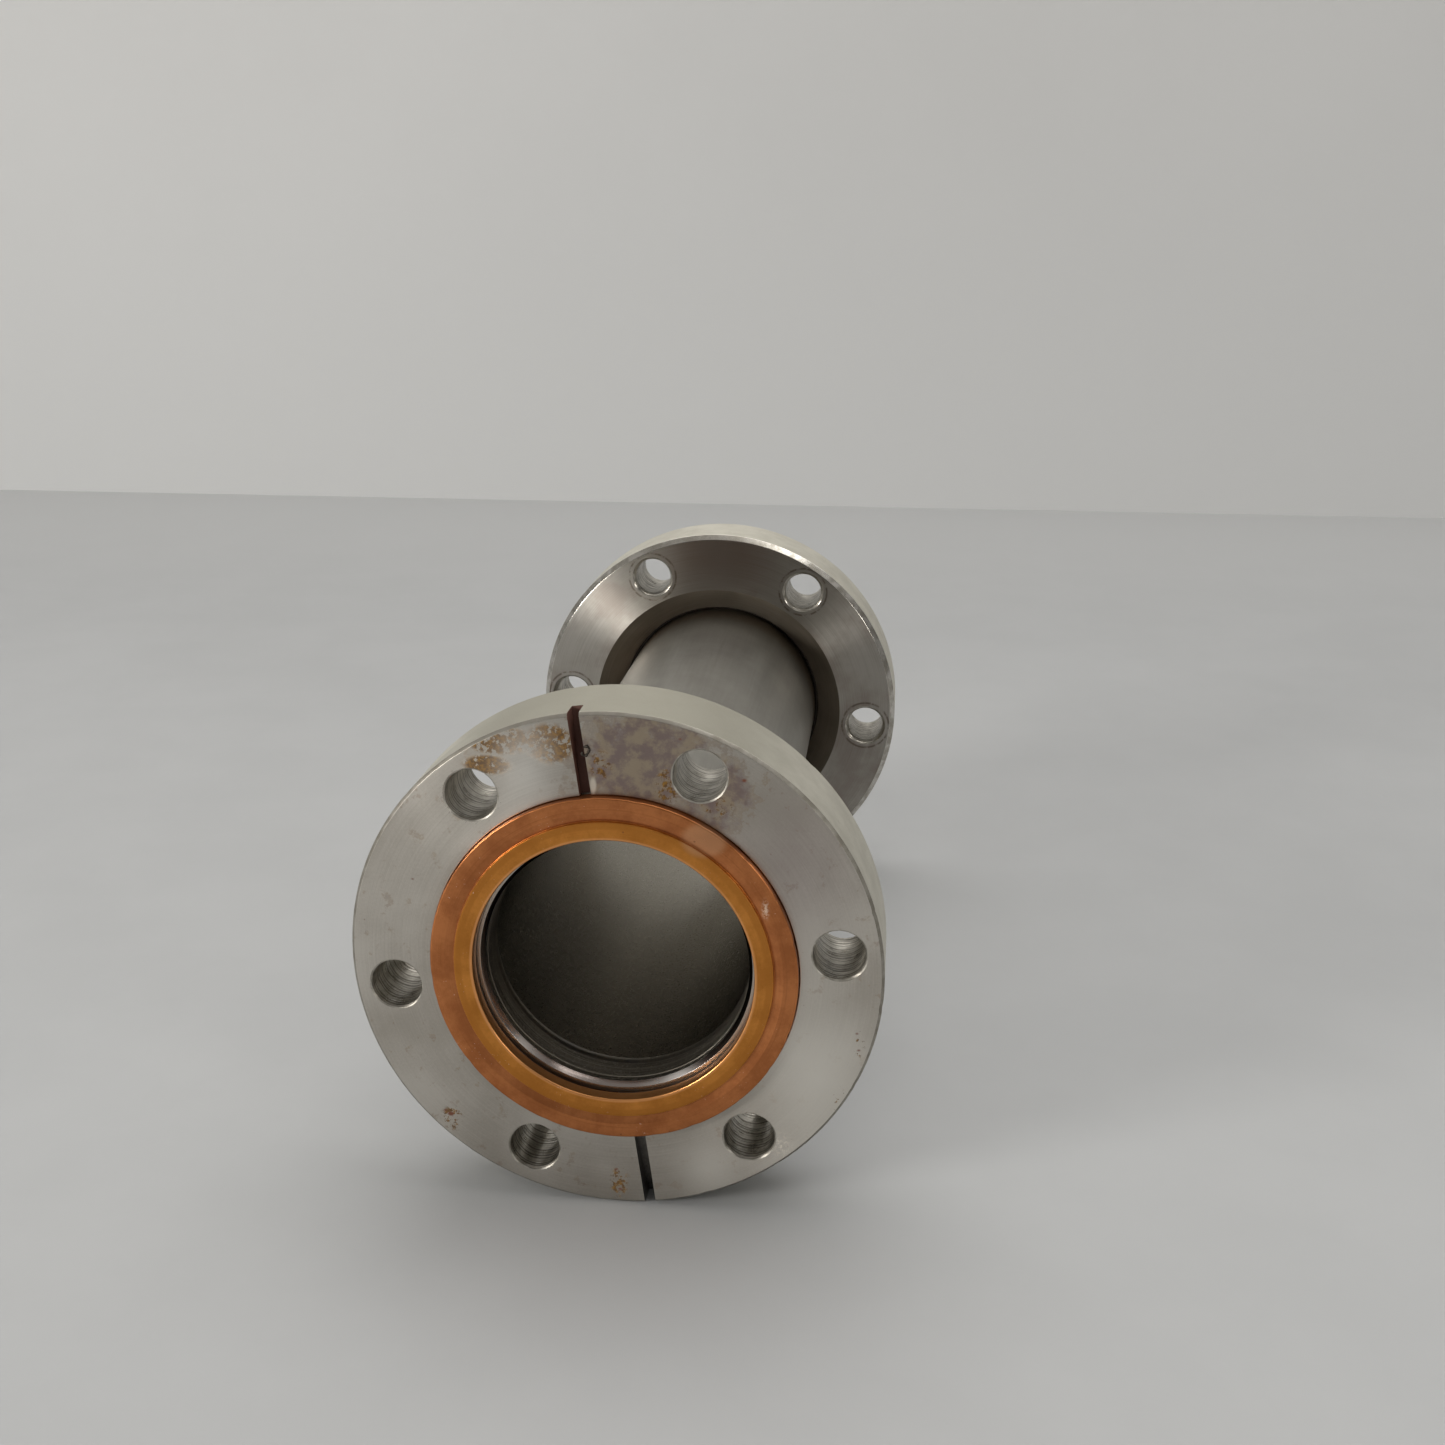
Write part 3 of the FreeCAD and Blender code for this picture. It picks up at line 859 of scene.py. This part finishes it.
def worn_rim(seed, nicks, ripple_mm):
    """Offset for a lathe: small dents that knock the rim's corners inwards here and there."""
    draw = random.Random(seed)
    dents = []
    for _ in range(nicks):
        at = draw.uniform(-math.pi, math.pi)
        width = draw.uniform(0.010, 0.022)
        deep = draw.uniform(0.02, 0.08)
        dents.append((at, width, deep, draw.random()))

    def offset(angle, r, y):
        if r < FLANGE_R - 1.0:
            return 0.0, 0.0
        near = (y % (LENGTH - FLANGE_T)) / FLANGE_T      # 0 at one face of the flange, 1 at the other
        ripple = ripple_mm * (noise.noise(Vector((angle * 9, y * 0.4, seed))) - 0.5)
        depth = min(ripple, 0.0)
        for at, width, deep, side in dents:
            away = turn_between(angle, at)
            if abs(away) < 4 * width and abs(near - round(side)) < 0.12:
                depth -= deep * math.exp(-(away / width) ** 2)
        return depth, 0.0

    return offset


def clock_of(mount):
    """Degrees clockwise from +Z seen along +Y."""
    x, _, z = mount["pos_m"]
    return math.degrees(math.atan2(x, z))


def make_front_flange():
    def flip(depth):
        return depth

    corners = seal_corners(0.0, flip) + [
        (BORE_R, FRONT_SEAT - WELD_PREP, 0.0, "bore"),
        (BORE_R + WELD_PREP, FRONT_SEAT, 0.0, "bore"),
        (SOCKET_R, FRONT_SEAT, 0.0, "bore"),
        (SOCKET_R, FLANGE_T, 0.25, "face"),
        (FLANGE_R - RIM_BREAK, FLANGE_T, 0.10, "edge"),
        (FLANGE_R, FLANGE_T - RIM_BREAK, 0.10, "rim"),
        (FLANGE_R, FACE_BREAK, 0.12, "edge"),
        (FLANGE_R - FACE_BREAK, 0.0, 0.12, "face"),
    ]
    finishes = {"face": FACE, "rim": RIM, "edge": EDGE, "seat": SEAT, "lead": LEAD, "bore": BORE}
    rim = worn_rim(5, 18, 0.0015)
    body = lathe("front_flange_body", corners, finishes, segments=480, offset=rim)
    holes = mounts_named("front_bolt_hole")
    tools = bolt_holes("front", holes, 0.0, FLANGE_T, HOLE_BREAK)
    tools += groove_tools("front", clock_of(holes[0]) - 30.0, RECESS_R - GROOVE_RUN_IN, 0.0, 1)
    cut_away(body, tools)
    shade(body)
    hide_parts("front_flange")
    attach(body, "fitting")


def make_burr():
    """A curled metal burr that the saw left beside the upper groove, standing on the mating face."""
    centre = Vector((-2.85, -0.05, 29.85)) * MM
    steps = 26
    around = 8
    bm = bmesh.new()
    rings = []
    for i in range(steps + 1):
        sweep = math.radians(-30 + 290 * i / steps)
        radius = (0.46 + 0.06 * math.sin(2.2 * sweep)) * MM
        stand = -0.12 * MM * math.sin(sweep * 0.5)
        spine = centre + Vector((radius * math.sin(sweep), stand, radius * 1.25 * math.cos(sweep)))
        outward = (spine - centre).normalized()
        thick = (0.16 + 0.05 * math.sin(5.0 * sweep)) * MM
        ring = []
        for k in range(around):
            roll = 2 * math.pi * k / around
            across = outward * math.cos(roll) + Vector((0, math.sin(roll), 0))
            ring.append(bm.verts.new(spine + across * thick))
        rings.append(ring)
    for a, b in zip(rings, rings[1:]):
        for k in range(around):
            n = (k + 1) % around
            bm.faces.new((a[k], a[n], b[n], b[k])).smooth = True
    bm.faces.new(rings[0])
    bm.faces.new(rings[-1])
    bmesh.ops.recalc_face_normals(bm, faces=bm.faces)
    burr = new_object("groove_burr", bm, [OXIDE])
    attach(burr, "fitting")


def make_tube():
    corners = [
        (BORE_R + WELD_PREP, FRONT_SEAT, 0.0, "outside"),
        (TUBE_R, FRONT_SEAT, 0.0, "outside"),
        (TUBE_R, LENGTH - REAR_SEAT, 0.0, "outside"),
        (BORE_R + WELD_PREP, LENGTH - REAR_SEAT, 0.0, "inside"),
        (BORE_R, LENGTH - REAR_SEAT - WELD_PREP, 0.0, "inside"),
        (BORE_R, FRONT_SEAT + WELD_PREP, 0.0, "inside"),
    ]
    body = lathe("tube_body", corners, {"outside": TUBE, "inside": INSIDE}, segments=360)
    shade(body)
    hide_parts("tube")
    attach(body, "fitting")


def make_weld(name, seat, node):
    """Seal weld with a ripple for each step of the torch."""
    steps = 12
    inner = []
    for k in range(steps + 1):
        lift = 0.10 * math.sin(math.pi * k / steps)
        y = seat - WELD_PREP + 2 * WELD_PREP * k / steps
        inner.append((BORE_R - lift, y, 0.0, "weld"))
    corners = inner + [(BORE_R + WELD_PREP, seat, 0.0, "weld")]

    def ripple(angle, r, y):
        if r >= BORE_R + 0.01:
            return 0.0, 0.0
        crown = max(0.0, 1.0 - ((y - seat) / WELD_PREP) ** 2)
        phase = angle * 84 + 2.2 * abs(y - seat)
        return crown * 0.016 * math.sin(phase), 0.0

    body = lathe(name, corners, {"weld": WELD}, segments=720, offset=ripple)
    shade(body, 40.0)
    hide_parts(node)
    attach(body, "fitting")


def make_insert():
    def flip(depth):
        return LENGTH - depth

    corners = seal_corners(INSERT_SETBACK, flip) + [
        (BORE_R, flip(REAR_SEAT - WELD_PREP), 0.0, "bore"),
        (BORE_R + WELD_PREP, flip(REAR_SEAT), 0.0, "bore"),
        (SOCKET_R, flip(REAR_SEAT), 0.0, "gap"),
        (SOCKET_R, flip(INSERT_BACK), 0.1, "gap"),
        (INSERT_R, flip(INSERT_BACK), 0.2, "seat"),
        (INSERT_R, flip(WIRE_FAR), 0.0, "seat"),
        (INSERT_R - INSERT_WIRE_CUT, flip(WIRE_FAR), 0.0, "seat"),
        (INSERT_R - INSERT_WIRE_CUT, flip(WIRE_NEAR), 0.0, "seat"),
        (INSERT_R, flip(WIRE_NEAR), 0.0, "seat"),
        (INSERT_R, flip(INSERT_SETBACK), 0.2, "face"),
    ]
    finishes = {"seat": SEAT, "lead": LEAD, "bore": BORE, "face": BACK, "gap": OXIDE}
    body = lathe("rear_insert_body", corners, finishes, segments=360)
    clock = clock_of(mounts["rear_bolt_hole_1"]) + 90.0
    cut_away(body, groove_tools("insert", clock, RECESS_R - GROOVE_RUN_IN, LENGTH, -1))
    shade(body)
    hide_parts("rear_insert")
    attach(body, "fitting")


def make_receiver():
    def flip(depth):
        return LENGTH - depth

    corners = [
        (RING_BORE_R, flip(0.0), 0.2, "seat"),
        (RING_BORE_R, flip(WIRE_NEAR), 0.0, "seat"),
        (RING_BORE_R + RING_WIRE_CUT, flip(WIRE_NEAR), 0.0, "seat"),
        (RING_BORE_R + RING_WIRE_CUT, flip(WIRE_FAR), 0.0, "seat"),
        (RING_BORE_R, flip(WIRE_FAR), 0.0, "seat"),
        (RING_BORE_R, flip(LIP_FRONT), 0.0, "gap"),
        (LIP_HOLE_R, flip(LIP_FRONT), 0.15, "gap"),
        (LIP_HOLE_R, flip(FLANGE_T - CONE_DEPTH), 0.15, "cone"),
        (CONE_R, flip(FLANGE_T), 0.12, "back"),
        (FLANGE_R - BEVEL_WIDTH, flip(FLANGE_T), 0.25, "bevel"),
        (FLANGE_R, flip(FLANGE_T - BEVEL_WIDTH), 0.25, "rim"),
        (FLANGE_R, flip(RIM_BREAK), 0.12, "edge"),
        (FLANGE_R - RIM_BREAK, flip(0.0), 0.10, "back"),
    ]
    finishes = {"seat": SEAT, "gap": OXIDE, "cone": CONE, "back": BACK, "edge": EDGE, "rim": RIM,
                "bevel": BEVEL}
    rim = worn_rim(8, 7, 0.0005)
    body = lathe("rear_receiver_body", corners, finishes, segments=480, offset=rim)
    holes = mounts_named("rear_bolt_hole")
    tools = bolt_holes("rear", holes, LENGTH, LENGTH - FLANGE_T, BACK_HOLE_BREAK)
    tools += groove_tools("rear", clock_of(holes[0]) + 90.0, RING_BORE_R - 1.0, LENGTH, -1)
    cut_away(body, tools)
    shade(body)
    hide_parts("rear_receiver")
    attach(body, "bolt_ring")


def make_gasket():
    """Used ring gasket: knife imprints with a raised lip, and small dents in its soft edges."""
    top, bottom = GASKET_TOP, GASKET_BOTTOM
    corners = [
        (GASKET_BORE_R, top, 0.22, "inner"),
        (KNIFE_R - 0.35, top, 0.30, "inner"),
        (KNIFE_R - 0.10, top + 0.02, 0.05, "inner"),
        (KNIFE_R - 0.02, top + IMPRINT, 0.06, "outer"),
        (KNIFE_R + IMPRINT / KNIFE_SLOPE, top + 0.02, 0.40, "outer"),
        (GASKET_R, top, 0.22, "outer"),
        (GASKET_R, bottom, 0.20, "outer"),
        (KNIFE_R + 0.80, bottom, 0.10, "outer"),
        (KNIFE_R, KNIFE_DEPTH - IMPRINT_CLEARANCE, 0.0, "inner"),
        (KNIFE_R - IMPRINT_CLEARANCE, KNIFE_DEPTH - IMPRINT_CLEARANCE, 0.0, "inner"),
        (KNIFE_R - IMPRINT_CLEARANCE, bottom, 0.0, "inner"),
        (GASKET_BORE_R, bottom, 0.22, "inner"),
    ]
    draw = random.Random(3)
    dents = []
    for _ in range(22):
        at = draw.uniform(-math.pi, math.pi)
        width = draw.uniform(0.01, 0.03)
        dents.append((at, width, draw.uniform(0.02, 0.07)))

    def dented(angle, r, y):
        dr = 0.012 * noise.noise(Vector((angle * 5, r, 2.0)))
        dr = -abs(dr) if r > 22.0 else dr * 0.5
        if r > GASKET_R - 0.3 and y < top + 0.4:
            for at, width, deep in dents:
                dr -= deep * math.exp(-(turn_between(angle, at) / width) ** 2)
        dip = 0.0
        if y < top + 0.35:
            dip = 0.008 * (1.0 + noise.noise(Vector((angle * 7, r * 0.7, 5.0))))
        return dr, dip

    finishes = {"inner": COPPER_INNER, "outer": COPPER_OUTER}
    body = lathe("gasket_ring", corners, finishes, segments=540, offset=dented)
    shade(body, 32.0)
    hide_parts("gasket")
    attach(body, "gasket")


make_front_flange()
make_burr()
make_tube()
make_weld("front_weld", FRONT_SEAT, "front_weld_bead")
make_weld("rear_weld", LENGTH - REAR_SEAT, "rear_weld_bead")
make_insert()
make_receiver()
make_gasket()

# The retaining ring keeps its CAD mesh and gets a material
ring = frame["nodes"]["retaining_ring"]
ring.data.materials.clear()
ring.data.materials.append(WIRE)


# ---------------------------------------------------------------- floor, backdrop, light and camera


def table_paint():
    """Pale satin paint, with painted light that makes it lighter where the table nears the wall."""
    s = Shader("table_paint")
    cloud = s.noise(0.03, 4.0, 0.6)
    color = s.mix(s.band(cloud, 0.3, 0.7), rgb(0.364, 0.367, 0.369), rgb(0.378, 0.381, 0.383))
    color = s.mix(s.band(s.y, 300.0, 560.0), color, rgb(0.455, 0.457, 0.456))
    return s.finish(color, 0.6, s.noise(0.36, 4.0, 0.6), bump_mm=0.03, metallic=0.0)


def wall_paint():
    """Matte wall with a faint glow low down, as light comes back from the table."""
    s = Shader("wall_paint")
    cloud = s.noise(0.004, 4.0, 0.6)
    color = s.mix(s.band(cloud, 0.3, 0.7), rgb(0.64, 0.635, 0.625), rgb(0.67, 0.665, 0.655))
    low = s.band(s.z, 230.0, -30.0)
    color = s.mix(low, color, rgb(0.61, 0.61, 0.605))
    s.bsdf.inputs["Emission Color"].default_value = rgb(1.0, 0.99, 0.97)
    s.feed(s.bsdf.inputs["Emission Strength"], s.times(low, 0.025))
    return s.finish(color, 0.6, s.noise(0.048, 4.0, 0.6), bump_mm=0.03, metallic=0.0)


def stage_plane(name, corners, material):
    bm = bmesh.new()
    bm.faces.new([bm.verts.new(corner) for corner in corners])
    plane = new_object(name, bm, [material])


# Edges of the table and wall, in metres
side = 2.0
near_y = -2.0
wall_y = 0.551
wall_top = 0.65
table_z = TABLE_Z * MM
floor_corners = [
    (-side, near_y, table_z),
    (side, near_y, table_z),
    (side, wall_y, table_z),
    (-side, wall_y, table_z),
]
wall_corners = [
    (-side, wall_y, table_z),
    (side, wall_y, table_z),
    (side, wall_y, wall_top),
    (-side, wall_y, wall_top),
]
stage_plane("floor", floor_corners, table_paint())
stage_plane("backdrop", wall_corners, wall_paint())


def area_light(name, place, aim, size, watts, color):
    data = bpy.data.lights.new(name, "AREA")
    data.shape = "RECTANGLE"
    data.size, data.size_y = size
    data.energy = watts
    data.color = color
    lamp = bpy.data.objects.new(name, data)
    lamp.location = place
    lamp.rotation_euler = (Vector(aim) - Vector(place)).to_track_quat("-Z", "Y").to_euler()
    bpy.context.scene.collection.objects.link(lamp)


# Place and aim in metres, width and height in metres, watts, colour
area_light("ceiling", (0.1, 0.40, 1.3), (0, 0.15, 0), (1.8, 1.0), 13.5, (1.0, 0.99, 0.965))
area_light("window", (-0.92, -0.66, 0.35), (0, 0.05, 0), (0.34, 0.22), 8.5, (1.0, 0.985, 0.95))
area_light("doorway", (0.80, -0.62, 0.30), (0, 0.05, 0), (0.20, 0.18), 1.5, (1.0, 0.985, 0.95))


def room_light():
    """Soft surroundings: bright overhead, pale behind, and dim on the side the front flange faces."""
    world = bpy.data.worlds.new("room")
    world.use_nodes = True
    nodes = world.node_tree.nodes
    links = world.node_tree.links
    toward = nodes.new("ShaderNodeTexCoord")
    split = nodes.new("ShaderNodeSeparateXYZ")
    links.new(toward.outputs["Generated"], split.inputs[0])

    def ramp(socket, low, high, dark, light):
        node = nodes.new("ShaderNodeMapRange")
        node.interpolation_type = "SMOOTHSTEP"
        for key, value in (("From Min", low), ("From Max", high), ("To Min", dark), ("To Max", light)):
            node.inputs[key].default_value = value
        links.new(socket, node.inputs["Value"])
        return node.outputs[0]

    back = ramp(split.outputs["Y"], -0.5, 0.35, 0.07, 0.45)
    above = ramp(split.outputs["Z"], 0.25, 0.95, 0.0, 0.40)
    total = nodes.new("ShaderNodeMath")
    links.new(back, total.inputs[0])
    links.new(above, total.inputs[1])
    background = nodes["Background"]
    background.inputs["Color"].default_value = (1.0, 0.985, 0.955, 1.0)
    links.new(total.outputs[0], background.inputs["Strength"])
    bpy.context.scene.world = world


room_light()

camera_data = bpy.data.cameras.new("camera")
camera_data.sensor_width = 36.0
camera_data.lens = 38.86
camera_data.clip_start = 0.01
camera = bpy.data.objects.new("camera", camera_data)
eye = Vector((0.03497, -0.17942, 0.09202))
ahead = Vector((-0.10948, 0.94599, -0.30514))
camera.location = eye
camera.rotation_euler = ahead.to_track_quat("-Z", "Y").to_euler()
bpy.context.scene.collection.objects.link(camera)
bpy.context.scene.camera = camera
bpy.context.scene.view_settings.view_transform = "Standard"
